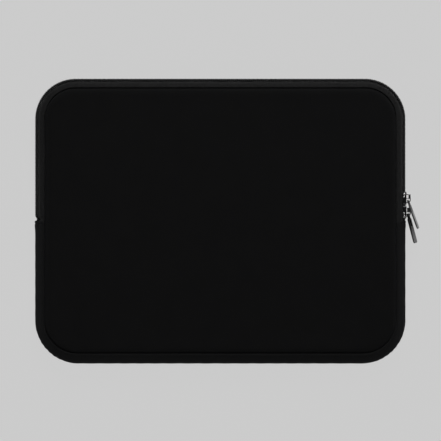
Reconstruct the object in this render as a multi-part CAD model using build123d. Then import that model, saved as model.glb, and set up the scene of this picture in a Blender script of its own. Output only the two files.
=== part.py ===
from build123d import *
import os

# A padded laptop sleeve lying on its back, all sizes in millimetres.
# X runs across the sleeve, Y towards its zipped edge, Z out of its front.
# The origin is the centre of the back panel's flat outer face.

# Whole sleeve
SLEEVE_WIDTH = 372.0
SLEEVE_HEIGHT = 286.0
SLEEVE_THICKNESS = 23.0
TOP_CORNER_RADIUS = 40.5
BOTTOM_CORNER_RADIUS = 43.5

# How far the front and back seams lie inside the outline
SIDE_SEAM_INSET = 9.5
TOP_SEAM_INSET = 9.0
BOTTOM_SEAM_INSET = 11.0

# Sheet materials
PANEL_THICKNESS = 4.0
PANEL_EDGE_ROUND = 1.2
LINING_THICKNESS = 1.5
LINING_SETBACK = 3.0
SEAM_GAP = 0.3

# Zip chain: a coil on the edge of each of two woven tapes, which meet at mid-thickness
MID_Z = SLEEVE_THICKNESS / 2
CHAIN_GAP = 1.4
ZIP_END_Y = -1.2
GUSSET_END_Y = -1.4

# Line across the front panel where it folds when the sleeve is opened
FOLD_Y = 31.0
FOLD_GAP = 0.3

# Sliders, stated outwards from the chain's outer face
SLIDER_LENGTH = 13.2
LOWER_SLIDER_Y = 9.2
UPPER_SLIDER_Y = 22.8
CHANNEL_CLEARANCE = 0.3
PLATE_THICKNESS = 0.8
NOSE_HALF_WIDTH = 5.1
TAIL_HALF_WIDTH = 4.7
NOSE_CHANNEL_HALF_WIDTH = 4.3
TAIL_CHANNEL_HALF_WIDTH = 3.8
FLANGE_DEPTH = 2.0
FLANGE_SETBACK = 0.12
INNER_PLATE_DEPTH = 4.2
INNER_PLATE_HALF_WIDTH = 3.7
PLATE_CORNER_ROUND = 1.6
OUTER_PLATE_ROUND = 0.5
INNER_PLATE_ROUND = 0.4
FLANGE_ROUND = 0.25
POST_WIDTH = 0.8
POST_LENGTH = 3.6
POST_FROM_NOSE = 0.6
POST_OVERLAP = 0.5
CROWN_LENGTH = 10.0
CROWN_HEIGHT = 4.45
CROWN_WIDTH = 1.8
CROWN_THICKNESS = 0.8
CROWN_CORNER_RADIUS = 2.4
CROWN_SLOPE = 0.35
CROWN_ROUND = 0.3
SPRING_THICKNESS = 0.2
SPRING_WIDTH = 1.2
SPRING_GAP = 0.06
PIN_SIZE = 0.6
PIN_Y = 0.0
PIN_REACH = 0.6
PIN_HOLE = 1.1

# Pull tabs, measured from the centre of the bar that hangs in the crown
PIVOT_HEIGHT = 1.75
PIVOT_OFFSET = -2.2
PULL_LENGTH = 30.0
PULL_WIDTH = 8.6
PULL_THICKNESS = 1.45
PULL_SHOULDER = 5.5
SHOULDER_SLOPE = 1.5
HEAD_WIDTH = 5.0
HEAD_WINDOW_WIDTH = 3.1
HEAD_WINDOW_END = 12.6
WINDOW_END_ROUND = 1.2
WINDOW_HEAD_ROUND = 0.4
TAB_END_ROUND = 2.2
TAB_SHOULDER_ROUND = 1.0
TAB_HEAD_ROUND = 0.7
TAB_FACE_ROUND = 0.3
UPPER_PULL_SWING = 20.0
LOWER_PULL_SWING = 14.6
UPPER_PULL_TWIST = 13.0
LOWER_PULL_TWIST = 24.0

# Two faces closer together than this are the same face
SAME_FACE = 0.01

CHAIN_FACE_X = SLEEVE_WIDTH / 2
PLATE_INNER_X = CHAIN_FACE_X + CHANNEL_CLEARANCE
PLATE_OUTER_X = PLATE_INNER_X + PLATE_THICKNESS

# Half of each wall's section, from the chain's edge to the seam: (height above mid-thickness, inset)
SEAM_RISE = 9.8
TAPE_OUTSIDE = [(CHAIN_GAP / 2, 2.4), (3.7, 2.4), (7.1, 4.8), (SEAM_RISE, 9.3)]
TAPE_INSIDE = [(CHAIN_GAP / 2, 3.4), (3.7, 3.4), (6.5, 5.6), (8.7, 9.5), (SEAM_RISE, 9.5)]
COIL_OUTSIDE = [(CHAIN_GAP / 2, 0.0), (2.8, 0.0), (3.4, 0.7)]
COIL_INSIDE = [(CHAIN_GAP / 2, 2.2), (3.4, 2.2)]
GUSSET_OUTSIDE = [(0.0, 0.0), (3.5, 1.0), (7.1, 4.8), (SEAM_RISE, 9.3)]
GUSSET_INSIDE = [(0.0, 3.2), (4.5, 5.0), (6.9, 9.5), (SEAM_RISE, 9.5)]
GUSSET_LINING_OUTSIDE = [(0.0, 3.5), (4.3, 5.3)]
GUSSET_LINING_INSIDE = [(0.0, 4.5), (4.3, 6.3)]
BINDING_OUTSIDE = [(5.4, 9.9), (7.2, 9.9)]
BINDING_INSIDE = [(5.4, 12.2), (7.2, 12.2)]
THREAD_PROUD = 0.3
THREAD_Y = -3.6
THREAD_WIDTH = 0.6


def outline(inset, z):
    """The sleeve's rounded outline at height z, drawn in by inset at the sides."""
    top = inset * TOP_SEAM_INSET / SIDE_SEAM_INSET
    bottom = inset * BOTTOM_SEAM_INSET / SIDE_SEAM_INSET
    shape = Rectangle(SLEEVE_WIDTH - 2 * inset, SLEEVE_HEIGHT - top - bottom)
    shape = fillet(shape.vertices().group_by(Axis.Y)[-1], TOP_CORNER_RADIUS - top)
    shape = fillet(shape.vertices().group_by(Axis.Y)[0], BOTTOM_CORNER_RADIUS - bottom)
    return Pos(0, (bottom - top) / 2, z) * shape


def slab(inset, low, high):
    """A flat sheet of the sleeve's outline between two heights."""
    return extrude(outline(inset, low), high - low)


def stack(levels):
    """A solid through the outlines given as (z, inset)."""
    return loft([outline(inset, z) for z, inset in levels], ruled=True)


def front_wall(outside, inside):
    """The part of a wall in front of mid-thickness, from its half sections."""
    outer = stack([(MID_Z + rise, inset) for rise, inset in outside])
    inner = stack([(MID_Z + rise, inset) for rise, inset in inside])
    return outer - inner


def back_wall(outside, inside):
    """The same wall behind mid-thickness."""
    outer = stack([(MID_Z - rise, inset) for rise, inset in reversed(outside)])
    inner = stack([(MID_Z - rise, inset) for rise, inset in reversed(inside)])
    return outer - inner


def whole_wall(outside, inside):
    """A wall that runs from the back seam round to the front seam."""
    def both(half):
        back = [(MID_Z - rise, inset) for rise, inset in reversed(half[1:])]
        return stack(back + [(MID_Z + rise, inset) for rise, inset in half])

    return both(outside) - both(inside)


def between_y(shape, low, high):
    """The part of a shape that lies between two values of Y."""
    keep = Box(2 * SLEEVE_WIDTH, high - low, 4 * SLEEVE_THICKNESS)
    return shape & (Pos(0, (low + high) / 2, MID_Z) * keep)


def above_zip_end(shape):
    return between_y(shape, ZIP_END_Y, SLEEVE_HEIGHT)


def below_fold(shape):
    return between_y(shape, -SLEEVE_HEIGHT, FOLD_Y - FOLD_GAP / 2)


def above_fold(shape):
    return between_y(shape, FOLD_Y + FOLD_GAP / 2, SLEEVE_HEIGHT)


def below_zip_end(shape):
    return between_y(shape, -SLEEVE_HEIGHT, GUSSET_END_Y)


def on_side(shape, side):
    """The part of a shape on one side of the sleeve: -1 is left, 1 is right."""
    half = Box(SLEEVE_WIDTH, 2 * SLEEVE_HEIGHT, 4 * SLEEVE_THICKNESS)
    return shape & (Pos(side * SLEEVE_WIDTH / 2, 0, MID_Z) * half)


def panel(low, outer_face_z):
    """A neoprene panel with its outer edge rounded over."""
    sheet = slab(SIDE_SEAM_INSET + SEAM_GAP, low, low + PANEL_THICKNESS)
    rim = sheet.faces().filter_by(lambda f: abs(f.center().Z - outer_face_z) < SAME_FACE).edges()
    return fillet(rim, PANEL_EDGE_ROUND)


def front_panel():
    return panel(SLEEVE_THICKNESS - PANEL_THICKNESS, SLEEVE_THICKNESS)


def back_panel():
    return panel(0, 0)


def front_lining():
    top = SLEEVE_THICKNESS - PANEL_THICKNESS
    return slab(SIDE_SEAM_INSET + LINING_SETBACK, top - LINING_THICKNESS, top)


def back_lining():
    return slab(SIDE_SEAM_INSET + LINING_SETBACK, PANEL_THICKNESS, PANEL_THICKNESS + LINING_THICKNESS)


def end_thread(side):
    """The row of stitches across the gusset's end, where it closes off the zip."""
    outside = [(rise, inset - THREAD_PROUD) for rise, inset in GUSSET_OUTSIDE]
    row = between_y(
        whole_wall(outside, GUSSET_OUTSIDE), THREAD_Y - THREAD_WIDTH / 2, THREAD_Y + THREAD_WIDTH / 2
    )
    return on_side(row, side)


def shield(half_width_scale, inset):
    """The plan of a slider's plate on the YZ plane, narrow at its tail (+Y) and wide at its nose."""
    half = SLIDER_LENGTH / 2 - inset
    nose = (NOSE_HALF_WIDTH - inset) * half_width_scale
    tail = (TAIL_HALF_WIDTH - inset) * half_width_scale
    corners = [(-half, -nose), (half, -tail), (half, tail), (-half, nose)]
    plan = make_face(Polyline(corners, close=True))
    return fillet(plan.vertices(), PLATE_CORNER_ROUND)


def slider_body():
    """Two plates joined by a post at the nose, with flanges that hold the chain in."""
    side_plane = Plane.YZ
    outer_plate = extrude(side_plane.offset(PLATE_INNER_X) * shield(1, 0), PLATE_THICKNESS)
    outer_plate = fillet(outer_plate.faces().sort_by(Axis.X)[-1].edges(), OUTER_PLATE_ROUND)

    # Two flanges turn in from the outer plate's long edges
    half = SLIDER_LENGTH / 2
    channel = make_face(Polyline(
        [
            (-half, -NOSE_CHANNEL_HALF_WIDTH),
            (half, -TAIL_CHANNEL_HALF_WIDTH),
            (half, TAIL_CHANNEL_HALF_WIDTH),
            (-half, NOSE_CHANNEL_HALF_WIDTH),
        ],
        close=True,
    ))
    flange_plan = shield(1, FLANGE_SETBACK) - channel
    flange_height = CHANNEL_CLEARANCE + FLANGE_DEPTH
    flange_start = side_plane.offset(PLATE_INNER_X - flange_height)
    flanges = extrude(flange_start * flange_plan, flange_height)
    low_rim = flanges.faces().filter_by(lambda f: abs(f.center().X - flange_start.origin.X) < SAME_FACE)
    flanges = fillet(low_rim.edges(), FLANGE_ROUND)

    inner_scale = INNER_PLATE_HALF_WIDTH / NOSE_HALF_WIDTH
    inner_outer_x = CHAIN_FACE_X - INNER_PLATE_DEPTH
    inner_plate = extrude(side_plane.offset(inner_outer_x) * shield(inner_scale, 0), -PLATE_THICKNESS)
    inner_plate = fillet(inner_plate.faces().sort_by(Axis.X)[0].edges(), INNER_PLATE_ROUND)

    post_depth = PLATE_INNER_X - inner_outer_x + 2 * POST_OVERLAP
    post = Box(post_depth, POST_LENGTH, POST_WIDTH)
    post_x = (PLATE_INNER_X + inner_outer_x) / 2
    post = Pos(post_x, -SLIDER_LENGTH / 2 + POST_LENGTH / 2 + POST_FROM_NOSE, 0) * post

    pin_hole = Pos(PLATE_OUTER_X, PIN_Y, 0) * Box(4 * PLATE_THICKNESS, PIN_HOLE, PIN_HOLE)
    return outer_plate + flanges + inner_plate + post - pin_hole


def arch(half_length, height, corner_radius):
    """The filled space under a bridge that stands on the outer plate."""
    shoulder = half_length - CROWN_SLOPE * height
    low, high = PLATE_OUTER_X, PLATE_OUTER_X + height
    face = make_face(Polyline(
        [(low, -half_length), (high, -shoulder), (high, shoulder), (low, half_length)], close=True
    ))
    return fillet(face.vertices().group_by(Axis.X)[-1], corner_radius)


def slider_crown():
    """The bridge on the outer plate that the pull tab hangs in."""
    outer = arch(CROWN_LENGTH / 2, CROWN_HEIGHT, CROWN_CORNER_RADIUS)
    inner = arch(
        CROWN_LENGTH / 2 - CROWN_THICKNESS,
        CROWN_HEIGHT - CROWN_THICKNESS,
        CROWN_CORNER_RADIUS - CROWN_THICKNESS,
    )
    bridge = extrude(outer - inner, CROWN_WIDTH / 2, both=True)
    side_edges = bridge.faces().filter_by(Axis.Z).edges()
    return fillet(side_edges.filter_by(lambda e: e.center().X > PLATE_OUTER_X + SAME_FACE), CROWN_ROUND)


def slider_spring():
    """The leaf under the crown, with the pin that drops between the coils."""
    half = CROWN_LENGTH / 2 - CROWN_THICKNESS - SPRING_GAP
    height = CROWN_HEIGHT - CROWN_THICKNESS - SPRING_GAP
    radius = CROWN_CORNER_RADIUS - CROWN_THICKNESS - SPRING_GAP
    leaf = arch(half, height, radius)
    leaf -= arch(half - SPRING_THICKNESS, height - SPRING_THICKNESS, radius - SPRING_THICKNESS)
    leaf = extrude(leaf, SPRING_WIDTH / 2, both=True)
    leaf -= Pos(PLATE_OUTER_X, 0, 0) * Box(2 * SPRING_GAP, CROWN_LENGTH, CROWN_WIDTH)
    pin_top = PLATE_OUTER_X + height - SPRING_THICKNESS / 2
    pin_bottom = CHAIN_FACE_X - PIN_REACH
    pin = Box(pin_top - pin_bottom, PIN_SIZE, PIN_SIZE)
    return leaf + Pos((pin_top + pin_bottom) / 2, PIN_Y, 0) * pin


def tab_window():
    """The slot in a pull tab's head, where the crown passes through."""
    top = -PULL_THICKNESS / 2
    length = HEAD_WINDOW_END + top
    slot = Pos(0, top - length / 2) * Rectangle(HEAD_WINDOW_WIDTH, length)
    slot = fillet(slot.vertices().group_by(Axis.Y)[0], WINDOW_END_ROUND)
    return fillet(slot.vertices().group_by(Axis.Y)[-1], WINDOW_HEAD_ROUND)


def pull_tab():
    """A flat tab hanging from its bar at the origin along -Y, its faces square to X."""
    top = PULL_THICKNESS / 2
    neck = HEAD_WIDTH / 2
    body = PULL_WIDTH / 2
    corners = [
        (-neck, top),
        (neck, top),
        (neck, -PULL_SHOULDER + SHOULDER_SLOPE),
        (body, -PULL_SHOULDER),
        (body, -PULL_LENGTH),
        (-body, -PULL_LENGTH),
        (-body, -PULL_SHOULDER),
        (-neck, -PULL_SHOULDER + SHOULDER_SLOPE),
    ]
    face = make_face(Polyline(corners, close=True))
    face = fillet(face.vertices().group_by(Axis.Y)[0], TAB_END_ROUND)
    face = fillet(face.vertices().group_by(Axis.Y)[1], TAB_SHOULDER_ROUND)
    face = fillet(face.vertices().group_by(Axis.Y)[-1], TAB_HEAD_ROUND)
    tab = extrude(face - tab_window(), PULL_THICKNESS / 2, both=True)
    tab = fillet(tab.faces().filter_by(Axis.Z).edges(), TAB_FACE_ROUND)
    return Rot(0, 90, 0) * tab


def at_slider(shape, y, turned):
    """A slider's piece at its place on the chain; a turned one has its nose towards +Y."""
    if turned:
        shape = mirror(shape, about=Plane.XZ)
    return Pos(0, y, MID_Z) * shape


def hung_pull(y, swing, twist):
    """A pull tab in its crown, swung out from the chain, its outer face turned a little to the front."""
    pivot = Pos(PLATE_OUTER_X + PIVOT_HEIGHT, y + PIVOT_OFFSET, MID_Z)
    return pivot * Rot(0, 0, swing) * Rot(0, -twist, 0) * pull_tab()


def sleeve_nodes():
    """The pieces that stay with the back of the sleeve."""
    front_tape = above_zip_end(below_fold(front_wall(TAPE_OUTSIDE, TAPE_INSIDE)))
    front_coil = above_zip_end(below_fold(front_wall(COIL_OUTSIDE, COIL_INSIDE)))
    return {
        "back_panel": back_panel(),
        "back_lining": back_lining(),
        "front_panel": below_fold(front_panel()),
        "front_lining": below_fold(front_lining()),
        "gusset": below_zip_end(whole_wall(GUSSET_OUTSIDE, GUSSET_INSIDE)),
        "gusset_lining": below_zip_end(whole_wall(GUSSET_LINING_OUTSIDE, GUSSET_LINING_INSIDE)),
        "back_binding": back_wall(BINDING_OUTSIDE, BINDING_INSIDE),
        "front_binding": below_fold(front_wall(BINDING_OUTSIDE, BINDING_INSIDE)),
        "back_zip_tape": above_zip_end(back_wall(TAPE_OUTSIDE, TAPE_INSIDE)),
        "back_zip_coil": above_zip_end(back_wall(COIL_OUTSIDE, COIL_INSIDE)),
        "front_zip_tape_left_end": on_side(front_tape, -1),
        "front_zip_tape_right_end": on_side(front_tape, 1),
        "front_zip_coil_left_end": on_side(front_coil, -1),
        "front_zip_coil_right_end": on_side(front_coil, 1),
        "end_thread_left": end_thread(-1),
        "end_thread_right": end_thread(1),
    }


def flap_nodes():
    """The upper half of the front, which folds forward when the zip is open."""
    return {
        "flap_panel": above_fold(front_panel()),
        "flap_lining": above_fold(front_lining()),
        "flap_binding": above_fold(front_wall(BINDING_OUTSIDE, BINDING_INSIDE)),
        "front_zip_tape": above_fold(front_wall(TAPE_OUTSIDE, TAPE_INSIDE)),
        "front_zip_coil": above_fold(front_wall(COIL_OUTSIDE, COIL_INSIDE)),
    }


def slider_nodes(name, y, swing, twist, turned):
    """One slider with its crown, lock spring and pull tab."""
    return {
        f"{name}_slider_body": at_slider(slider_body(), y, turned),
        f"{name}_slider_crown": at_slider(slider_crown(), y, turned),
        f"{name}_slider_spring": at_slider(slider_spring(), y, turned),
        f"{name}_pull_tab": hung_pull(y, swing, twist),
    }


def main():
    os.makedirs("parts", exist_ok=True)
    nodes = sleeve_nodes() | flap_nodes()
    nodes |= slider_nodes("upper", UPPER_SLIDER_Y, UPPER_PULL_SWING, UPPER_PULL_TWIST, turned=False)
    nodes |= slider_nodes("lower", LOWER_SLIDER_Y, LOWER_PULL_SWING, LOWER_PULL_TWIST, turned=True)
    for name, shape in nodes.items():
        export_step(shape, f"parts/{name}.step")


main()
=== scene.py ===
import math

import bmesh
import bpy
import numpy as np
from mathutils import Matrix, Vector


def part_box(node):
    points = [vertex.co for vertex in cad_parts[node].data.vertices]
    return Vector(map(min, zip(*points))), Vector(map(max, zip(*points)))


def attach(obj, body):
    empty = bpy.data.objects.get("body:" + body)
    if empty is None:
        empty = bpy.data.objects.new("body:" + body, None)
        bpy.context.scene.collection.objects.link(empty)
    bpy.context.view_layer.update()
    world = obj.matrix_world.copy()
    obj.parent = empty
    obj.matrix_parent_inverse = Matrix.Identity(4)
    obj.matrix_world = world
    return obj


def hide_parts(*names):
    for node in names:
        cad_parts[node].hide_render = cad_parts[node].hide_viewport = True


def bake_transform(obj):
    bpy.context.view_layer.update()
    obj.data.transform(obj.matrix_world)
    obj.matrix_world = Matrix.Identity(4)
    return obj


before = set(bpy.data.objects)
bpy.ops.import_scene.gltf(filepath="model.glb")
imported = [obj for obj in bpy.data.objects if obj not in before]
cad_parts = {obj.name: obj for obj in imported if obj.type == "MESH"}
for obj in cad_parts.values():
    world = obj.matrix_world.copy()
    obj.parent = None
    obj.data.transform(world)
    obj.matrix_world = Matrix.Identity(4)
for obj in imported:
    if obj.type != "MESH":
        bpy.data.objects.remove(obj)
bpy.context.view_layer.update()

# ---------------------------------------------------------------- sizes, in metres, worked out from the frame

MM = 0.001
gusset_low, gusset_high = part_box("gusset")
front_low, front_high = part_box("front_panel")
flap_low, flap_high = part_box("flap_panel")
lining_low, lining_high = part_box("back_lining")
front_lining_low, front_lining_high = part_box("front_lining")

HALF_WIDTH = gusset_high.x
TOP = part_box("back_zip_coil")[1].y
BOTTOM = gusset_low.y
THICKNESS = front_high.z
MIDDLE = THICKNESS / 2
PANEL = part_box("back_panel")[1].z
UPPER_PULL_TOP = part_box("upper_pull_tab")[1].y
LOWER_PULL_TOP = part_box("lower_pull_tab")[1].y

# The seam between a panel and the band lies this far in from the rim at the sides, and TOP_SCALE and
# BOTTOM_SCALE times as far in at the top and bottom, all of it lower by SEAM_DROP. CREASE is its groove
SEAM = HALF_WIDTH - front_high.x
TOP_SCALE = (TOP - flap_high.y) / SEAM
BOTTOM_SCALE = (front_low.y - BOTTOM) / SEAM
SEAM_DROP = 0.45 * MM
CREASE = SEAM + 0.1 * MM
LINING_INSET = HALF_WIDTH - lining_high.x
ZIP_END_Y = gusset_high.y
TOP_RADIUS = 40.5 * MM
BOTTOM_RADIUS = 43.5 * MM

# Zip coil: half-sizes are to the middle of the wire, and the inset and height are of the coil's middle line
COIL_PITCH = 2.0 * MM
COIL_WIRE = 0.5 * MM
COIL_STEPS = 16
COIL_INSET = 1.2 * MM
COIL_HALF_THICKNESS = 0.87 * MM
COIL_HEIGHT = MIDDLE + 1.6 * MM
COIL_HALF_WIDTH = 1.9 * MM
COIL_LEAN = 0.5 * MM

# The cord inside a coil and the thread over it. Their heights are from the coil's middle line
CORE_RADIUS = 0.58 * MM
CORE_ABOVE = 0.45 * MM
STITCH_RADIUS = 0.16 * MM
STITCH_ABOVE = 0.6 * MM
STITCH_INSET = 0.2 * MM
STITCH_LIFT = 0.22 * MM

# Thicknesses of the band's cloths
TAPE = 0.5 * MM
GUSSET = 1.9 * MM
GUSSET_LINING = 1.0 * MM
BINDING_TAPE = 0.4 * MM

# The gusset laps over the zip's ends, up to GUSSET_TOP, and is sewn down STITCH_DROP below that
GUSSET_TOP = ZIP_END_Y + 1.9 * MM
STITCH_DROP = 3.0 * MM


# ---------------------------------------------------------------- the sleeve's outline as a path

def line(start, end, outward):
    """A straight stretch of the outline: its length, and its place and outward direction along it."""
    start, end, outward = np.array(start), np.array(end), np.array(outward, float)
    length = float(np.linalg.norm(end - start))

    def at(distance):
        share = (distance / length)[:, None]
        return start + (end - start) * share, np.tile(outward, (len(distance), 1))

    return length, at


def corner(centre, radius, first):
    """A quarter circle of the outline, clockwise from the angle first, in degrees."""
    centre = np.array(centre)

    def at(distance):
        angle = math.radians(first) - distance / radius
        outward = np.stack([np.cos(angle), np.sin(angle)], axis=1)
        return centre + outward * radius, outward

    return radius * math.pi / 2, at


def outline_pieces():
    """The outline clockwise from the zip's left end: the upper half first, then the lower half."""
    w, t, b, r, q, y = HALF_WIDTH, TOP, BOTTOM, TOP_RADIUS, BOTTOM_RADIUS, ZIP_END_Y
    upper = [
        line((-w, y), (-w, t - r), (-1, 0)),
        corner((-w + r, t - r), r, 180),
        line((-w + r, t), (w - r, t), (0, 1)),
        corner((w - r, t - r), r, 90),
        line((w, t - r), (w, y), (1, 0)),
    ]
    lower = [
        line((w, y), (w, b + q), (1, 0)),
        corner((w - q, b + q), q, 0),
        line((w - q, b), (-w + q, b), (0, -1)),
        corner((-w + q, b + q), q, -90),
        line((-w, b + q), (-w, y), (-1, 0)),
    ]
    return upper, lower


UPPER, LOWER = outline_pieces()
UPPER_LENGTH = sum(length for length, at in UPPER)
RIM_LENGTH = UPPER_LENGTH + sum(length for length, at in LOWER)


def rim(distance):
    """Place, outward direction and seam scale at each distance along the outline."""
    distance = np.asarray(distance, float)
    place = np.zeros((len(distance), 2))
    outward = np.zeros((len(distance), 2))
    passed = 0.0
    for index, (length, at) in enumerate(UPPER + LOWER):
        last = index == len(UPPER + LOWER) - 1
        here = (distance >= passed) & ((distance < passed + length) | last)
        place[here], outward[here] = at(distance[here] - passed)
        passed += length
    across, along = outward[:, 0], outward[:, 1]
    scale = across**2 + along**2 * np.where(along > 0, TOP_SCALE, BOTTOM_SCALE)
    return place, outward, scale


def on_band(distance, inset, height):
    """Points at a distance along the outline, drawn in by inset, at a height. All three may be arrays."""
    distance, inset, height = np.broadcast_arrays(distance, inset, height)
    place, outward, scale = rim(distance.ravel())
    flat = place - outward * (inset.ravel() * scale)[:, None]
    flat[:, 1] -= SEAM_DROP * np.clip(inset.ravel() / SEAM, 0, 1)
    points = np.concatenate([flat, height.ravel()[:, None]], axis=1)
    return points.reshape(*distance.shape, 3)


def spaced(start, end, spacing):
    """Evenly spaced distances from start to end, about spacing apart."""
    return np.linspace(start, end, max(2, round((end - start) / spacing) + 1))


# ---------------------------------------------------------------- meshes

def make_piece(name, vertices, faces, material, uv=None):
    """A smooth-shaded mesh piece. uv gives each vertex a place on the cloth, in metres."""
    mesh = bpy.data.meshes.new(name)
    mesh.from_pydata([tuple(v) for v in vertices], [], faces)
    if uv is not None:
        layer = mesh.uv_layers.new(name="cloth")
        corners = np.zeros(len(mesh.loops), int)
        mesh.loops.foreach_get("vertex_index", corners)
        layer.data.foreach_set("uv", np.asarray(uv, float)[corners].ravel())
    mesh.polygons.foreach_set("use_smooth", [True] * len(mesh.polygons))
    mesh.validate()
    piece = bpy.data.objects.new(name, mesh)
    bpy.context.scene.collection.objects.link(piece)
    mesh.materials.append(material)
    return piece


def grid_faces(rows, columns, join_rows, join_columns):
    """Quads over a grid of vertices, joined end to end where asked."""
    faces = []
    for r in range(rows if join_rows else rows - 1):
        for c in range(columns if join_columns else columns - 1):
            r2, c2 = (r + 1) % rows, (c + 1) % columns
            faces.append((r * columns + c, r * columns + c2, r2 * columns + c2, r2 * columns + c))
    return faces


def normals_of(section):
    """The left-hand normal of each point of an open section."""
    along = np.gradient(section, axis=0)
    along /= np.linalg.norm(along, axis=1)[:, None]
    return np.stack([-along[:, 1], along[:, 0]], axis=1)


def curved(points, count):
    """A smooth curve through a few points (Catmull-Rom), as count points evenly spaced along it."""
    p = np.array(points, float)
    p = np.vstack([2 * p[0] - p[1], p, 2 * p[-1] - p[-2]])
    fine = []
    for i in range(1, len(p) - 2):
        t = np.linspace(0, 1, 24, endpoint=False)[:, None]
        a, b, c, d = p[i - 1], p[i], p[i + 1], p[i + 2]
        fine.append(
            0.5 * (2 * b + (c - a) * t + (2 * a - 5 * b + 4 * c - d) * t**2 + (3 * b - a - 3 * c + d) * t**3)
        )
    fine = np.vstack(fine + [p[-2:-1]])
    passed = np.concatenate([[0], np.cumsum(np.linalg.norm(np.diff(fine, axis=0), axis=1))])
    wanted = np.linspace(0, passed[-1], count)
    return np.stack([np.interp(wanted, passed, fine[:, k]) for k in (0, 1)], axis=1)


def strip(name, material, distances, section, thickness, shift=None, lip=0.0, pucker=None):
    """Cloth of one thickness along the outline. section runs over the outer surface, as (inset, height), with
    the thickness on its inner side. shift(s, inset) draws it in, and pucker(s, inset) sinks it towards
    mid-thickness. Each end is rounded over the length lip."""
    inner = section - normals_of(section) * thickness
    middle = (section + inner) / 2
    loop = np.vstack([section, inner[::-1]])
    core = np.vstack([middle, middle[::-1]])
    outer = np.vstack([section, section[::-1]])
    girth = np.concatenate([[0], np.cumsum(np.linalg.norm(np.diff(loop, axis=0), axis=1))])
    s = distances[:, None]
    if lip > 0:
        from_end = np.minimum(distances - distances[0], distances[-1] - distances)
        full = np.sqrt(1 - (1 - np.clip(from_end / lip, 0.01, 1)) ** 2)[:, None, None]
    else:
        full = np.ones((len(distances), 1, 1))
    placed = core[None] + (loop - core)[None] * full
    inset, height = placed[:, :, 0], placed[:, :, 1]
    if shift is not None:
        inset = inset + shift(s, outer[None, :, 0])
    if pucker is not None:
        height = height - np.sign(section[:, 1].mean() - MIDDLE) * pucker(s, outer[None, :, 0])
    points = on_band(s, inset, height)
    rows, columns = points.shape[:2]
    faces = grid_faces(rows, columns, False, True)
    faces.append(tuple(range(columns))[::-1])
    faces.append(tuple((rows - 1) * columns + c for c in range(columns)))
    uv = np.stack(np.broadcast_arrays(s, girth[None, :]), axis=2).reshape(-1, 2)
    return make_piece(name, points.reshape(-1, 3), faces, material, uv)


def add_tube(vertices, faces, centres, radius, sides):
    """Adds a round thread along a list of centres, closed at both ends."""
    along = np.gradient(centres, axis=0)
    along /= np.linalg.norm(along, axis=1)[:, None]
    first = np.cross(along, [0.0, 0.0, 1.0])
    if np.linalg.norm(first[0]) < 0.2:
        first[0] = np.cross(along[0], [0.0, 1.0, 0.0])
    first[0] /= np.linalg.norm(first[0])
    for i in range(1, len(first)):
        first[i] = first[i - 1] - along[i] * np.dot(first[i - 1], along[i])
        first[i] /= np.linalg.norm(first[i])
    second = np.cross(along, first)
    angle = np.linspace(0, 2 * math.pi, sides, endpoint=False)
    ring = np.cos(angle)[None, :, None] * first[:, None] + np.sin(angle)[None, :, None] * second[:, None]
    points = (centres[:, None] + ring * radius).reshape(-1, 3)
    base = len(vertices)
    last = base + len(points) - sides
    faces += [tuple(base + i for i in face) for face in grid_faces(len(centres), sides, False, True)]
    faces.append(tuple(range(base, base + sides))[::-1])
    faces.append(tuple(range(last, last + sides)))
    vertices += [tuple(point) for point in points]


def tube(name, material, centres, radius, sides):
    """A piece that is one round thread."""
    vertices, faces = [], []
    add_tube(vertices, faces, centres, radius, sides)
    return make_piece(name, vertices, faces, material)


# ---------------------------------------------------------------- materials

class Nodes:
    """Small helper that builds one material's node tree."""

    def __init__(self, name):
        self.material = bpy.data.materials.new(name)
        self.material.use_nodes = True
        self.tree = self.material.node_tree
        self.shader = self.tree.nodes["Principled BSDF"]

    def add(self, kind, **settings):
        node = self.tree.nodes.new(kind)
        for key, value in settings.items():
            setattr(node, key, value)
        return node

    def link(self, source, target):
        self.tree.links.new(source, target)

    def math(self, operation, first, second=None):
        node = self.add("ShaderNodeMath", operation=operation)
        for socket, value in zip(node.inputs, (first, second)):
            if value is None:
                continue
            if isinstance(value, (int, float)):
                socket.default_value = value
            else:
                self.link(value, socket)
        return node.outputs[0]

    def noise(self, vector, scale, detail=2.0, roughness=0.5):
        node = self.add("ShaderNodeTexNoise")
        node.inputs["Scale"].default_value = scale
        node.inputs["Detail"].default_value = detail
        node.inputs["Roughness"].default_value = roughness
        self.link(vector, node.inputs["Vector"])
        return node.outputs["Fac"]

    def ramp(self, value, low, high, start=0.0, end=1.0):
        """Maps value from start..end to low..high."""
        node = self.add("ShaderNodeMapRange")
        node.inputs["From Min"].default_value = start
        node.inputs["From Max"].default_value = end
        node.inputs["To Min"].default_value = low
        node.inputs["To Max"].default_value = high
        self.link(value, node.inputs["Value"])
        return node.outputs["Result"]

    def colours(self, value, dark, light):
        node = self.add("ShaderNodeMix", data_type="RGBA")
        node.inputs["A"].default_value = (*dark, 1)
        node.inputs["B"].default_value = (*light, 1)
        self.link(value, node.inputs["Factor"])
        self.link(node.outputs["Result"], self.shader.inputs["Base Color"])

    def bump(self, height, distance, strength=1.0):
        node = self.add("ShaderNodeBump")
        node.inputs["Distance"].default_value = distance
        node.inputs["Strength"].default_value = strength
        self.link(height, node.inputs["Height"])
        self.link(node.outputs["Normal"], self.shader.inputs["Normal"])

    def set(self, **values):
        for name, value in values.items():
            self.shader.inputs[name.replace("_", " ")].default_value = value

    def place(self):
        return self.add("ShaderNodeTexCoord").outputs["Object"]

    def cloth(self):
        return self.add("ShaderNodeUVMap", uv_map="cloth").outputs["UV"]

    def split(self, vector):
        node = self.add("ShaderNodeSeparateXYZ")
        self.link(vector, node.inputs[0])
        return node.outputs


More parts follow.
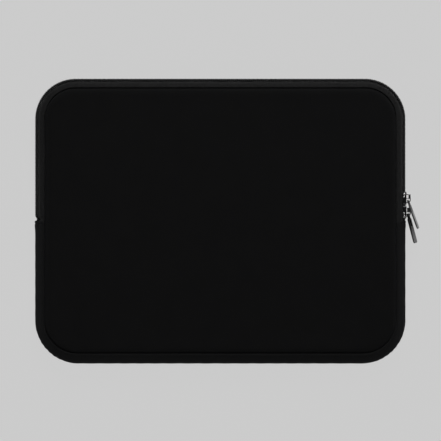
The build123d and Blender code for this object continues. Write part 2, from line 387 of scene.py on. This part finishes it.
def knit_height(nodes, vector, pitch):
    """Columns of V-shaped knit stitches, pitch apart."""
    x, y = nodes.split(vector)[:2]
    column = nodes.math("MULTIPLY", x, 1 / pitch)
    share = nodes.math("FRACT", column)
    from_middle = nodes.math("ABSOLUTE", nodes.math("SUBTRACT", share, 0.5))
    row = nodes.math("ADD", nodes.math("MULTIPLY", y, 1.25 / pitch), from_middle)
    stitch = nodes.math("SINE", nodes.math("MULTIPLY", row, 2 * math.pi))
    side = nodes.math("SINE", nodes.math("MULTIPLY", from_middle, 2 * math.pi))
    return nodes.math("MULTIPLY", nodes.math("ADD", nodes.math("MULTIPLY", stitch, 0.5), 0.5), side)


def neoprene_material(name, tone):
    """Black neoprene faced with fine jersey knit, tone times as light as the panels'."""
    nodes = Nodes(name)
    place = nodes.place()
    knit = knit_height(nodes, nodes.cloth(), 0.62 * MM)
    mottle = nodes.noise(place, 55, 4)
    fuzz = nodes.noise(place, 3200, 2)
    shade = nodes.math("ADD", nodes.math("MULTIPLY", knit, 0.3), nodes.math("MULTIPLY", mottle, 0.7))
    dark, light = 0.0047 * tone, 0.0087 * tone
    nodes.colours(shade, (dark, dark, 1.02 * dark), (light, light, 1.02 * light))
    nodes.link(nodes.ramp(mottle, 0.86, 0.96), nodes.shader.inputs["Roughness"])
    nodes.set(Specular_IOR_Level=0.08, Sheen_Weight=0.035, Sheen_Roughness=0.5)
    nodes.shader.inputs["Sheen Tint"].default_value = (0.8, 0.82, 0.9, 1)
    nodes.bump(nodes.math("ADD", knit, nodes.math("MULTIPLY", fuzz, 0.5)), 0.12 * MM, 0.8)
    return nodes.material


def tape_material():
    """Woven polyester tape: fine ribs across it, with a twill lean."""
    nodes = Nodes("zip_tape")
    u, v = nodes.split(nodes.cloth())[:2]
    rib = nodes.math("SINE", nodes.math("MULTIPLY", u, 2 * math.pi / (0.55 * MM)))
    lean = nodes.math("ADD", nodes.math("MULTIPLY", u, 0.5), v)
    twill = nodes.math("SINE", nodes.math("MULTIPLY", lean, 2 * math.pi / (0.42 * MM)))
    weave = nodes.math("ADD", nodes.math("MULTIPLY", rib, 0.5), nodes.math("MULTIPLY", twill, 0.5))
    mottle = nodes.noise(nodes.place(), 380, 3, 0.6)
    tone = nodes.ramp(nodes.math("ADD", nodes.math("MULTIPLY", weave, 0.12), mottle), 0, 1, 0.3, 0.7)
    nodes.colours(tone, (0.0045, 0.0045, 0.0046), (0.0146, 0.0146, 0.015))
    nodes.set(Roughness=0.78, Specular_IOR_Level=0.16, Sheen_Weight=0.04, Sheen_Roughness=0.4)
    nodes.bump(weave, 0.08 * MM, 0.8)
    return nodes.material


def coil_material():
    """Satin black nylon."""
    nodes = Nodes("zip_coil")
    place = nodes.place()
    grain = nodes.noise(place, 900, 3)
    nodes.colours(grain, (0.02, 0.02, 0.0206), (0.036, 0.036, 0.037))
    nodes.link(nodes.ramp(grain, 0.45, 0.6), nodes.shader.inputs["Roughness"])
    nodes.set(Specular_IOR_Level=0.28)
    nodes.bump(grain, 0.03 * MM, 0.5)
    return nodes.material


def plush_material():
    """Short dark pile."""
    nodes = Nodes("plush_lining")
    place = nodes.place()
    pile = nodes.noise(place, 1500, 4, 0.7)
    nap = nodes.noise(place, 60, 3)
    nodes.colours(nodes.math("MULTIPLY", pile, nap), (0.012, 0.012, 0.013), (0.075, 0.075, 0.08))
    nodes.set(Roughness=1.0, Specular_IOR_Level=0.05, Sheen_Weight=0.35, Sheen_Roughness=0.6)
    nodes.shader.inputs["Sheen Tint"].default_value = (0.5, 0.5, 0.55, 1)
    nodes.bump(nodes.math("ADD", pile, nodes.math("MULTIPLY", nap, 0.6)), 0.9 * MM, 0.9)
    return nodes.material


def binding_material():
    """Grosgrain binding: bold ribs across its length."""
    nodes = Nodes("binding")
    u = nodes.split(nodes.cloth())[0]
    rib = nodes.math("ABSOLUTE", nodes.math("SINE", nodes.math("MULTIPLY", u, math.pi / (0.8 * MM))))
    nodes.colours(rib, (0.008, 0.008, 0.0085), (0.024, 0.024, 0.025))
    nodes.set(Roughness=0.8, Specular_IOR_Level=0.2, Sheen_Weight=0.1)
    nodes.bump(rib, 0.12 * MM, 0.9)
    return nodes.material


def thread_material():
    """Twisted black polyester thread."""
    nodes = Nodes("thread")
    place = nodes.place()
    twist = nodes.noise(place, 2600, 2)
    nodes.colours(twist, (0.006, 0.006, 0.0062), (0.014, 0.014, 0.0144))
    nodes.set(Roughness=0.7, Specular_IOR_Level=0.12, Sheen_Weight=0.03)
    nodes.bump(twist, 0.06 * MM, 0.8)
    return nodes.material


def metal_material(name, dark, light, low, high):
    """Plated zinc with faint rubbing marks and cast unevenness."""
    nodes = Nodes(name)
    place = nodes.place()
    stretched = nodes.add("ShaderNodeMapping")
    stretched.inputs["Scale"].default_value = (1, 0.12, 1)
    nodes.link(place, stretched.inputs["Vector"])
    rubbed = nodes.noise(stretched.outputs["Vector"], 5200, 3, 0.7)
    cast = nodes.noise(place, 420, 2)
    nodes.colours(nodes.math("MULTIPLY", nodes.math("ADD", rubbed, cast), 0.5), dark, light)
    nodes.link(nodes.ramp(rubbed, low, high, 0.3, 0.7), nodes.shader.inputs["Roughness"])
    nodes.set(Metallic=1.0)
    nodes.bump(nodes.math("ADD", cast, nodes.math("MULTIPLY", rubbed, 0.25)), 0.05 * MM, 0.6)
    return nodes.material


def reflection_painted_metal(name, dark, light, start, end):
    """Blackened plating painted darker towards a pull tab's top and lighter towards its free end, from Y
    start to Y end: painted reflection of the dark things the tab faces near its top.
    """
    nodes = Nodes(name)
    place = nodes.place()
    cast = nodes.noise(place, 420, 2)
    rubbed = nodes.noise(place, 2600, 3, 0.6)
    # Painted reflection: a ramp from dark at the tab's top to light at its free end, with cast unevenness
    painted_reflection = nodes.ramp(nodes.split(place)[1], 0.0, 1.0, start, end)
    reflection_and_cast = nodes.math("ADD", painted_reflection, nodes.math("MULTIPLY", nodes.math("SUBTRACT", cast, 0.5), 0.25))
    reflection_and_cast = nodes.math("MINIMUM", nodes.math("MAXIMUM", reflection_and_cast, 0.0), 1.0)
    nodes.colours(reflection_and_cast, (dark, dark, dark), (light, light, light))
    nodes.link(nodes.ramp(rubbed, 0.22, 0.36, 0.3, 0.7), nodes.shader.inputs["Roughness"])
    nodes.set(Metallic=1.0)
    nodes.bump(nodes.math("ADD", cast, nodes.math("MULTIPLY", rubbed, 0.25)), 0.05 * MM, 0.6)
    return nodes.material


NEOPRENE = neoprene_material("neoprene", 1.0)
# The gusset's neoprene is a lighter copy of the panels': painted light for the brighter light its sloped band
# catches
PAINTED_LIT_NEOPRENE = neoprene_material("painted_lit_neoprene", 1.4)
ZIP_TAPE = tape_material()
ZIP_COIL = coil_material()
PLUSH = plush_material()
BINDING = binding_material()
THREAD = thread_material()
SLIDER_METAL = metal_material("slider_metal", (0.06, 0.06, 0.062), (0.12, 0.12, 0.123), 0.2, 0.3)
CROWN_METAL = metal_material("crown_metal", (0.24, 0.24, 0.245), (0.36, 0.36, 0.365), 0.18, 0.28)
# The knobs' metal is far lighter than the slider's: painted highlight on the rounded flange tips
KNOB_HIGHLIGHT_METAL = metal_material("knob_highlight_metal", (0.72, 0.72, 0.73), (0.86, 0.86, 0.87), 0.12, 0.2)
# Both pulls are painted darker towards their tops; on the lower pull this is painted reflection of the upper
# tab's dark inner face
PULL_METALS = {
    "upper": reflection_painted_metal("upper_pull_metal", 0.10, 0.19, UPPER_PULL_TOP, UPPER_PULL_TOP - 12 * MM),
    "lower": reflection_painted_metal("lower_pull_metal", 0.004, 0.12, LOWER_PULL_TOP - 12 * MM, LOWER_PULL_TOP - 25 * MM),
}
SPRING_STEEL = metal_material("spring_steel", (0.45, 0.45, 0.45), (0.6, 0.6, 0.6), 0.2, 0.3)


# ---------------------------------------------------------------- front and back panels and their linings

# Flat pieces close towards a level middle line, MIDDLE_LINE times as wide as the sleeve, at MIDDLE_LINE_Y.
# Depth on a face is the distance in from the rim; REACH_IN stands for the distance from rim to middle line
MIDDLE_LINE = 0.34
MIDDLE_LINE_Y = -10 * MM
REACH_IN = 90 * MM
LAST_SHARE = 0.94
FACE_RINGS = 34
FACE_SPACING = 2.4 * MM


def ring(distances, inset, share):
    """One ring of a flat piece: the outline drawn in by inset, then part of the way to the middle line."""
    flat = on_band(distances, inset, 0.0)[:, :2]
    middle = np.stack([flat[:, 0] * MIDDLE_LINE, np.full(len(flat), MIDDLE_LINE_Y)], axis=1)
    return flat * (1 - share) + middle * share


def flat_piece(name, material, inset, edge, outside, inside):
    """A closed flat piece. edge lists (distance in from its rim, share of the way from inside to outside),
    from the inside face's rim round to the outside face. outside(x, y, depth) and inside give the faces."""
    distances = np.linspace(0, RIM_LENGTH, round(RIM_LENGTH / FACE_SPACING), endpoint=False)
    shares = np.linspace(0, LAST_SHARE, FACE_RINGS)
    last_in = edge[-1][0]
    rings = [(edge[0][0], share, 0.0) for share in shares[:0:-1]]
    rings += [(distance, 0.0, level) for distance, level in edge]
    rings += [(last_in, share, 1.0) for share in shares[1:]]
    rows = []
    for distance, share, level in rings:
        flat = ring(distances, inset + distance, share)
        x, y = flat[:, 0], flat[:, 1]
        depth = distance + share * REACH_IN
        height = inside(x, y, depth) * (1 - level) + outside(x, y, depth) * level
        rows.append(np.concatenate([flat, height[:, None]], axis=1))
    points = np.array(rows)
    count, columns = points.shape[:2]
    faces = grid_faces(count, columns, False, True)
    faces.append(tuple(range(columns))[::-1])
    faces.append(tuple((count - 1) * columns + c for c in range(columns)))
    faces_up = points[-1, 0, 2] >= points[0, 0, 2]
    if faces_up:
        faces = [tuple(reversed(f)) for f in faces]
    return make_piece(name, points.reshape(-1, 3), faces, material, points[:, :, :2].reshape(-1, 2))


def ripple(x, y, size, seed):
    """Slow unevenness of stuffed cloth, between -1 and 1."""
    a = np.sin(x / size + seed) * np.cos(y / size * 0.83 + 1.7 * seed)
    b = np.sin((x + y) / size * 1.9 + 2.3 * seed) * np.cos((x - y) / size * 1.4 + seed)
    return 0.65 * a + 0.35 * b


PANEL_EDGE = [
    (1.4 * MM, 0.0), (0.6 * MM, 0.01), (0.25 * MM, 0.06), (0.1 * MM, 0.16), (0.05 * MM, 0.3),
    (0.15 * MM, 0.44), (0.4 * MM, 0.57), (0.75 * MM, 0.68), (1.2 * MM, 0.78), (1.75 * MM, 0.86),
    (2.4 * MM, 0.92), (3.2 * MM, 0.96), (4.2 * MM, 0.985), (5.4 * MM, 0.997), (7.0 * MM, 1.0),
    (9.5 * MM, 1.0), (12.5 * MM, 1.0), (16 * MM, 1.0),
]
# The front puffs up along its rim by PUFF, PUFF_IN from the rim, and waves by RIPPLE all over
PUFF = 0.35 * MM
PUFF_IN = 6.5 * MM
PUFF_WIDTH = 4.5 * MM
FRONT_SINK = 0.1 * MM
RIPPLE = 0.16 * MM
RIPPLE_SIZE = 34 * MM


def front_outside(x, y, depth):
    puff = PUFF * np.exp(-((depth - PUFF_IN) / PUFF_WIDTH) ** 2)
    return THICKNESS - FRONT_SINK + puff + RIPPLE * ripple(x, y, RIPPLE_SIZE, 1.0)


def front_inside(x, y, depth):
    return np.full_like(x, THICKNESS - PANEL)


def back_outside(x, y, depth):
    return np.zeros_like(x)


def back_inside(x, y, depth):
    return np.full_like(x, PANEL)


def make_panels():
    front = flat_piece("front_shell", NEOPRENE, CREASE, PANEL_EDGE, front_outside, front_inside)
    over_fold(front)
    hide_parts("front_panel", "flap_panel")
    back = flat_piece("back_shell", NEOPRENE, CREASE, PANEL_EDGE, back_outside, back_inside)
    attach(back, "sleeve")
    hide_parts("back_panel")


LINING_EDGE = [
    (0.5 * MM, 0.0), (0.0, 0.35), (0.15 * MM, 0.7), (0.6 * MM, 0.93), (1.5 * MM, 1.0), (4 * MM, 1.0),
    (9 * MM, 1.0),
]
PILE_RIPPLE = 0.12 * MM
PILE_RIPPLE_SIZE = 21 * MM


def make_linings():
    def pile(level, lift, seed):
        return lambda x, y, depth: level + lift * ripple(x, y, PILE_RIPPLE_SIZE, seed)

    pieces = [
        ("back_plush", "back_lining", lining_low.z, lining_high.z, ["back_panel"]),
        ("front_plush", "front_lining", front_lining_high.z, front_lining_low.z, ["front_panel"]),
    ]
    for name, node, hidden, shown, rests_on in pieces:
        piece = flat_piece(
            name, PLUSH, LINING_INSET, LINING_EDGE, pile(shown, PILE_RIPPLE, 2.0), pile(hidden, 0.0, 0.0)
        )
        if node == "front_lining":
            over_fold(piece)
            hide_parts("front_lining", "flap_lining")
        else:
            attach(piece, "sleeve")
            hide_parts(node)


def over_fold(piece):
    """Bakes a front piece's placement into its mesh, and leaves it on no body."""
    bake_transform(piece)


# ---------------------------------------------------------------- the band round the edge

# Shapes of the band fade out over FADE, up to FADE_END in from the rim, so that its edge stays in the seam
FADE_END = 9.3 * MM
FADE = 3.0 * MM

# In the corners gathers and crinkles draw the zip in, and puckers sink its tape. Elsewhere it only wanders
GATHER = 0.42 * MM
CRINKLE = 0.3 * MM
WANDER = 0.06 * MM
PUCKER = 0.24 * MM
FIRM_EDGE = 0.25

# The zip is pinched in just above the left end of the gusset
PINCH = 1.6 * MM
PINCH_Y = ZIP_END_Y + 3.4 * MM
PINCH_WIDTH = 2.0 * MM

# The gusset's two ends stand out over the zip, with a dip beside the rim and one along the closing stitches
END_Y = GUSSET_TOP - 3.0 * MM
END_WIDTH = 5.5 * MM
END_STAND = 0.75 * MM
END_DIP = 0.55 * MM
STITCH_DIP = 0.5 * MM
STITCH_WIDTH = 0.55 * MM
GUSSET_PUCKER = 0.16 * MM
GUSSET_WAVE = 0.05 * MM

# Each end of the gusset and its lining is rounded off over LIP, and its mesh is finer over FINE_LENGTH
FINE_LENGTH = 14 * MM
FINE_SPACING = 0.4 * MM
LIP = 1.0 * MM
LIP_RINGS = 7


def corner_weight(s):
    """0 on the straights, 1 in the middle of each corner."""
    outward = rim(s.ravel())[1]
    return (4 * (outward[:, 0] * outward[:, 1]) ** 2).reshape(s.shape)


def height_along(s):
    """The outline's Y at each distance."""
    return rim(s.ravel())[0][:, 1].reshape(s.shape)


def side_of(s):
    """-1 on the left half of the outline and 1 on the right."""
    return np.sign(rim(s.ravel())[0][:, 0]).reshape(s.shape)


def bell(value, middle, width):
    return np.exp(-(((value - middle) / width) ** 2))


def wave(s, length, wobble, wobble_size, turn=0.0):
    """A sine along the outline. It drifts by wobble radians over wobble_size, and turn moves it on."""
    return np.sin(s * 2 * math.pi / length + wobble * np.sin(s / wobble_size) + turn)


def lean(inset, length):
    """How far to turn a wave at an inset, so that its crests lean over and repeat every length of inset."""
    return inset * 2 * math.pi / length


def zip_shift(s, inset):
    """Gathers across the tape in the corners, and the pinch beside the zip's left end."""
    gather = GATHER * wave(s, 3.3 * MM, 2, 9 * MM)
    gather = gather + CRINKLE * wave(s, 2.3 * MM, 3, 5 * MM, lean(inset, 2.9 * MM))
    firmness = np.clip((inset - 2.6 * MM) / (2 * MM), FIRM_EDGE, 1)
    gather = gather * corner_weight(s) * firmness + WANDER * wave(s, 4.3 * MM, 1.5, 13 * MM)
    pinch = PINCH * bell(height_along(s), PINCH_Y, PINCH_WIDTH) * (side_of(s) < 0)
    return (gather + pinch) * np.clip((FADE_END - inset) / FADE, 0, 1)


def tape_pucker(s, inset):
    """Small puckers all over the tape in the corners, where it is eased round the curve."""
    along = wave(s, 3.1 * MM, 3, 5 * MM, lean(inset, 4.3 * MM))
    across = np.sin(s * 2 * math.pi / (7.7 * MM) - lean(inset, 3.7 * MM))
    depth = PUCKER * corner_weight(s) * (1 + along * across)
    return depth * np.clip((8.8 * MM - inset) / (1.5 * MM), 0, 1)


def gusset_shift(s, inset):
    """The gusset stands out at its two ends, over the zip's ends, and puckers softly in the corners."""
    y = height_along(s)
    end = bell(y, END_Y, END_WIDTH)
    stand = -END_STAND * end * bell(inset, 1.2 * MM, 2.2 * MM)
    dip = END_DIP * end * bell(inset, 3.8 * MM, 0.9 * MM)
    stitched = STITCH_DIP * bell(y, GUSSET_TOP - STITCH_DROP, STITCH_WIDTH) * (inset < 9 * MM)
    pucker = GUSSET_PUCKER * corner_weight(s) * wave(s, 6.5 * MM, 1, 11 * MM)
    pucker = pucker + GUSSET_WAVE * wave(s, 17 * MM, 1, 23 * MM)
    return stand + dip + (stitched + pucker) * np.clip((FADE_END - inset) / FADE, 0, 1)


# Sections of the band's cloths, as (inset, height)
TAPE_SECTION = [
    (9.9 * MM, 18.9 * MM), (9.7 * MM, 19.6 * MM), (9.3 * MM, 20.6 * MM), (8.8 * MM, 21.2 * MM),
    (8.1 * MM, 21.2 * MM), (6.5 * MM, 20.35 * MM), (5.0 * MM, 19.3 * MM), (4.1 * MM, 18.1 * MM),
    (3.6 * MM, 16.9 * MM), (3.1 * MM, 15.9 * MM), (2.8 * MM, 15.0 * MM), (2.65 * MM, 14.0 * MM),
    (2.55 * MM, 12.2 * MM),
]
GUSSET_SECTION = [
    (9.75 * MM, 18.6 * MM), (9.6 * MM, 19.4 * MM), (9.2 * MM, 20.5 * MM), (8.3 * MM, 21.1 * MM),
    (6.8 * MM, 20.5 * MM), (4.4 * MM, 18.6 * MM), (1.2 * MM, 15.2 * MM), (-0.25 * MM, 11.5 * MM),
    (1.2 * MM, 7.8 * MM), (4.4 * MM, 4.4 * MM), (6.8 * MM, 2.5 * MM), (8.3 * MM, 1.9 * MM),
    (9.2 * MM, 2.5 * MM), (9.6 * MM, 3.6 * MM), (9.75 * MM, 4.4 * MM),
]
GUSSET_LINING_SECTION = [
    (6.6 * MM, 16.2 * MM), (5.3 * MM, 15.4 * MM), (4.0 * MM, 13.4 * MM), (3.6 * MM, 11.5 * MM),
    (4.0 * MM, 9.6 * MM), (5.3 * MM, 7.6 * MM), (6.6 * MM, 6.8 * MM),
]
BINDING_SECTION = [
    (10.0 * MM, 18.8 * MM), (9.95 * MM, 17.7 * MM), (10.3 * MM, 17.05 * MM), (11.1 * MM, 16.85 * MM),
    (11.9 * MM, 17.05 * MM), (12.2 * MM, 17.7 * MM), (12.15 * MM, 18.8 * MM),
]


def mirrored(section):
    """A section of the front half turned over to the back half."""
    return [(inset, THICKNESS - height) for inset, height in section]


def make_zip_tapes():
    distances = spaced(0.0, UPPER_LENGTH, 0.5 * MM)
    sections = {"front": curved(TAPE_SECTION, 26), "back": curved(mirrored(TAPE_SECTION), 26)}
    for side, section in sections.items():
        thickness = -TAPE if side == "front" else TAPE
        tape = strip(f"{side}_tape", ZIP_TAPE, distances, section, thickness, zip_shift, pucker=tape_pucker)
        if side == "front":
            over_fold(tape)
            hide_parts("front_zip_tape", "front_zip_tape_left_end", "front_zip_tape_right_end")
        else:
            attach(tape, "sleeve")
            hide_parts("back_zip_tape")


def zip_points(side, s, inset, height):
    """Points on one half of the zip. The height is given as on the front half."""
    inset = inset + zip_shift(s, inset)
    if side == "back":
        height = THICKNESS - height
    return on_band(s, inset, height)


def coil_line(side):
    """Centreline of one nylon coil: a flattened helix along the tape's edge, its heads past mid-thickness."""
    turns = int(UPPER_LENGTH / COIL_PITCH) - 1
    phase = 0.0 if side == "front" else 0.5
    turn = np.linspace(0, turns, turns * COIL_STEPS + 1)
    angle = turn * 2 * math.pi
    s = (turn + 0.5 + phase) * COIL_PITCH
    across, through = np.cos(angle), np.sin(angle)
    # Flattened sides: through the coil's thickness the wire soon reaches its full distance
    flattened = np.sign(through) * np.abs(through) ** 0.7
    inset = COIL_INSET + COIL_HALF_THICKNESS * flattened + COIL_LEAN * np.clip(across, 0, 1)
    return zip_points(side, s, inset, COIL_HEIGHT + COIL_HALF_WIDTH * across)


def coil_core_line(side):
    """The filler cord that runs inside a coil."""
    s = spaced(COIL_PITCH, UPPER_LENGTH - COIL_PITCH, 1.5 * MM)
    return zip_points(side, s, np.full_like(s, COIL_INSET), np.full_like(s, COIL_HEIGHT + CORE_ABOVE))


def coil_stitch_line(side):
    """The sewing thread that holds a coil: over each wire and down between two."""
    s = spaced(2 * COIL_PITCH, UPPER_LENGTH - 2 * COIL_PITCH, COIL_PITCH / 8)
    lift = np.cos(s * 2 * math.pi / COIL_PITCH + (0 if side == "front" else math.pi))
    inset = STITCH_INSET - STITCH_LIFT * lift
    return zip_points(side, s, inset, np.full_like(s, COIL_HEIGHT + STITCH_ABOVE))


def make_coils():
    for side in ("front", "back"):
        coil = tube(f"{side}_coil", ZIP_COIL, coil_line(side), COIL_WIRE, 8)
        stitches = tube(f"{side}_coil_stitches", THREAD, coil_stitch_line(side), STITCH_RADIUS, 5)
        core = tube(f"{side}_coil_core", THREAD, coil_core_line(side), CORE_RADIUS, 8)
        for piece in (coil, stitches, core):
            if side == "front":
                over_fold(piece)
            else:
                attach(piece, "sleeve")
        if side == "front":
            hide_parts("front_zip_coil", "front_zip_coil_left_end", "front_zip_coil_right_end")
        else:
            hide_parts("back_zip_coil")


def lower_distances(start_gap, spacing):
    """Distances along the lower half of the outline, from start_gap past each zip end, closest there."""
    start, end = UPPER_LENGTH + start_gap, RIM_LENGTH - start_gap
    near = start + LIP * (1 - np.cos(np.linspace(0, math.pi / 2, LIP_RINGS)))
    fine = np.arange(start + 1.3 * LIP, start + FINE_LENGTH, FINE_SPACING)
    rest = spaced(fine[-1] + spacing, (start + end) / 2, spacing)
    half = np.concatenate([near, fine, rest])
    return np.concatenate([half, (start + end - half)[::-1][1:]])


def make_gusset():
    section = curved(GUSSET_SECTION, 64)
    distances = lower_distances(ZIP_END_Y - GUSSET_TOP, 1.1 * MM)
    # Painted light: the gusset wears the lighter copy of the neoprene
    gusset = strip("gusset_shell", PAINTED_LIT_NEOPRENE, distances, section, -GUSSET, gusset_shift, LIP)
    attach(gusset, "sleeve")
    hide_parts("gusset")
    section = curved(GUSSET_LINING_SECTION, 22)
    distances = lower_distances(0.8 * MM, 2 * MM)
    lining = strip("gusset_plush", PLUSH, distances, section, -GUSSET_LINING, None, LIP)
    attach(lining, "sleeve")
    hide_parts("gusset_lining")


def make_bindings():
    """The tape folded round each inside seam."""
    distances = np.linspace(0, RIM_LENGTH, round(RIM_LENGTH / (1.6 * MM)))
    for side in ("front", "back"):
        section = curved(BINDING_SECTION if side == "front" else mirrored(BINDING_SECTION), 20)
        thickness = BINDING_TAPE if side == "front" else -BINDING_TAPE
        binding = strip(f"{side}_edging", BINDING, distances, section, thickness)
        if side == "front":
            over_fold(binding)
            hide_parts("front_binding", "flap_binding")
        else:
            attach(binding, "sleeve")
            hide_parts("back_binding")


def make_end_stitches():
    """A row of stitches through the gusset and the zip under it, near each end of the gusset."""
    section = curved(GUSSET_SECTION, 200)
    girth = np.concatenate([[0], np.cumsum(np.linalg.norm(np.diff(section, axis=0), axis=1))])
    length, gap, points = 2.3 * MM, 0.5 * MM, 9
    first, last = 2.2 * MM, girth[-1] - 2 * MM
    # Each stitch dives into the cloth at both ends
    share = np.linspace(0, 1, points)
    sink = 0.35 * MM - 0.4 * MM * np.sin(np.pi * share) ** 0.5
    drop = ZIP_END_Y - GUSSET_TOP + STITCH_DROP
    rows = {"left": RIM_LENGTH - drop, "right": UPPER_LENGTH + drop}
    for side, s in rows.items():
        vertices, faces = [], []
        start = first
        while start + length < last:
            at = start + length * share
            inset = np.interp(at, girth, section[:, 0])
            height = np.interp(at, girth, section[:, 1])
            distance = np.full(points, s)
            inset = inset + gusset_shift(distance, inset) + sink
            add_tube(vertices, faces, on_band(distance, inset, height), 0.22 * MM, 7)
            start += length + gap
        stitches = make_piece(f"{side}_end_stitches", vertices, faces, THREAD)
        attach(stitches, "sleeve")
        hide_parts(f"end_thread_{side}")


# ---------------------------------------------------------------- sliders and pull tabs

# Edges of the CAD parts with more than SHARP between their faces are eased, and shading runs smoothly over
# those with less than CREASED. Neighbouring faces less than FLAT apart are one face
SHARP = math.radians(35)
CREASED = math.radians(32)
FLAT = math.radians(4)
SAME_POINT = 0.002 * MM

# The knobs on each flange's tip: how far in from the flange's face, along from its middle and out from
# mid-thickness, then the radii
KNOBS = [
    ((2.3 * MM, 4.4 * MM, 5.0 * MM), (1.25 * MM, 1.45 * MM, 1.2 * MM)),
    ((2.5 * MM, 1.6 * MM, 4.75 * MM), (0.9 * MM, 1.1 * MM, 1.1 * MM)),
]

# The caps on the crowns: CAP_ALONG is from the slider's middle, CAP_UNDER from the crown's top
CAP_DEPTHS = {"upper": 2.2 * MM, "lower": 3.6 * MM}
CAP_LENGTH = 4.9 * MM
CAP_WIDTH = 1.9 * MM
CAP_ALONG = 1.95 * MM
CAP_UNDER = 0.06 * MM
CAP_EDGE = 0.4 * MM


def ease_edges(shape, edges, width, segments):
    """Rounds edges off by width, or by less where there is no room for it."""
    bmesh.ops.bevel(
        shape, geom=edges, offset=width, offset_type="OFFSET", segments=segments, profile=0.5, affect="EDGES",
        clamp_overlap=True,
    )


def stretch(vertices, centre, size):
    """Gives a solid that was made round the origin its place and size."""
    for vertex in vertices:
        vertex.co = Vector(c + r * v for c, r, v in zip(centre, size, vertex.co))


def finish_metal(name, shape, material, body):
    """Makes the piece of a finished shape, smooth-shaded between its edges."""
    mesh = bpy.data.meshes.new(name)
    shape.to_mesh(mesh)
    shape.free()
    piece = bpy.data.objects.new(name, mesh)
    bpy.context.scene.collection.objects.link(piece)
    mesh.materials.append(material)
    mesh.polygons.foreach_set("use_smooth", [True] * len(mesh.polygons))
    mesh.set_sharp_from_angle(angle=CREASED)
    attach(piece, body)
    return piece


def make_eased(node, name, width, material, body):
    """A copy of a CAD metal part with its edges eased, as the cast part has them."""
    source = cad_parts[node]
    shape = bmesh.new()
    shape.from_mesh(source.data)
    shape.transform(source.matrix_world)
    bmesh.ops.remove_doubles(shape, verts=shape.verts, dist=SAME_POINT)
    bmesh.ops.dissolve_limit(shape, angle_limit=FLAT, verts=shape.verts, edges=shape.edges)
    sharp = [e for e in shape.edges if e.is_manifold and e.calc_face_angle() > SHARP]
    ease_edges(shape, sharp, width, 2)
    piece = finish_metal(name, shape, material, body)
    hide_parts(node)


def make_knobs(name, face, middle, away):
    """The tips of a slider's flanges, at the end away from the other slider, in a far lighter metal than the
    slider: painted highlight for the light the rounded tips catch.
    """
    shape = bmesh.new()
    for side in (-1, 1):
        for (inwards, along, out), radii in KNOBS:
            knob = bmesh.ops.create_uvsphere(shape, u_segments=20, v_segments=12, radius=1.0)
            stretch(knob["verts"], (face - inwards, middle + away * along, MIDDLE + side * out), radii)
    finish_metal(f"{name}_slider_knobs", shape, KNOB_HIGHLIGHT_METAL, f"{name}_slider")


def make_crown_cap(name, middle):
    """The solid half of the crown beside the pull's pivot, which covers the lock spring."""
    shape = bmesh.new()
    cap = bmesh.ops.create_cube(shape, size=1.0)
    depth = CAP_DEPTHS[name]
    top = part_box(f"{name}_slider_crown")[1].x - CAP_UNDER
    stretch(cap["verts"], (top - depth / 2, middle + CAP_ALONG, MIDDLE), (depth, CAP_LENGTH, CAP_WIDTH))
    ease_edges(shape, list(shape.edges), CAP_EDGE, 3)
    finish_metal(f"{name}_slider_cap", shape, CROWN_METAL, f"{name}_slider")


def make_sliders():
    for name, away in (("upper", 1), ("lower", -1)):
        slider, pull = f"{name}_slider", f"{name}_pull"
        low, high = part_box(f"{slider}_body")
        middle = (low.y + high.y) / 2
        make_eased(f"{slider}_body", f"{slider}_casting", 0.1 * MM, SLIDER_METAL, slider)
        make_knobs(name, high.x, middle, away)
        make_crown_cap(name, middle)
        make_eased(f"{slider}_crown", f"{slider}_bridge", 0.08 * MM, CROWN_METAL, slider)
        make_eased(f"{slider}_spring", f"{slider}_leaf", 0.02 * MM, SPRING_STEEL, slider)
        make_eased(f"{pull}_tab", pull, 0.1 * MM, PULL_METALS[name], pull)


# ---------------------------------------------------------------- stage

# The floor glows to the photo's grey ground, and its corners lie FLOOR_REACH out each way
FLOOR_REACH = 30.0
FLOOR_GLOW = 0.59
WORLD_LIGHT = 0.06

# What the camera sees from side to side at mid-thickness
FRAME_WIDTH = 443.646 * MM


def make_floor():
    mesh = bpy.data.meshes.new("floor")
    signs = [(-1, -1), (1, -1), (1, 1), (-1, 1)]
    mesh.from_pydata([(x * FLOOR_REACH, y * FLOOR_REACH, 0) for x, y in signs], [], [(0, 1, 2, 3)])
    floor = bpy.data.objects.new("floor", mesh)
    bpy.context.scene.collection.objects.link(floor)
    nodes = Nodes("floor")
    nodes.set(Base_Color=(0.02, 0.02, 0.02, 1), Roughness=1.0, Specular_IOR_Level=0.0)
    nodes.set(Emission_Color=(1, 1, 1, 1), Emission_Strength=FLOOR_GLOW)
    mesh.materials.append(nodes.material)


def make_light(name, place, size, power):
    light = bpy.data.lights.new(name, "AREA")
    light.shape = "DISK"
    light.size = size
    light.energy = power
    lamp = bpy.data.objects.new(name, light)
    lamp.location = place
    lamp.rotation_euler = (-Vector(place)).to_track_quat("-Z", "Y").to_euler()
    lamp.visible_camera = False
    bpy.context.scene.collection.objects.link(lamp)


def make_world():
    world = bpy.data.worlds.new("studio")
    bpy.context.scene.world = world
    world.use_nodes = True
    tree = world.node_tree
    background = tree.nodes["Background"]
    background.inputs["Color"].default_value = (1, 1, 1, 1)
    background.inputs["Strength"].default_value = WORLD_LIGHT


def make_camera():
    camera_data = bpy.data.cameras.new("camera")
    camera_data.lens = 300
    camera_data.sensor_width = 36
    camera_data.clip_end = 100
    camera = bpy.data.objects.new("camera", camera_data)
    distance = FRAME_WIDTH * camera_data.lens / camera_data.sensor_width
    camera.location = (0.2 * MM, 0.6 * MM, MIDDLE + distance)
    bpy.context.scene.collection.objects.link(camera)
    bpy.context.scene.camera = camera


make_camera()
make_world()
make_floor()
make_light("key", (0.28, 1.8, 1.35), 1.1, 31)
make_light("fill", (-0.7, -1.8, 1.4), 1.6, 13)
make_light("side", (2.0, 0.2, 0.22), 0.5, 3.5)
bpy.context.scene.view_settings.view_transform = "Standard"

make_panels()
make_linings()
make_zip_tapes()
make_coils()
make_gusset()
make_bindings()
make_end_stitches()
make_sliders()
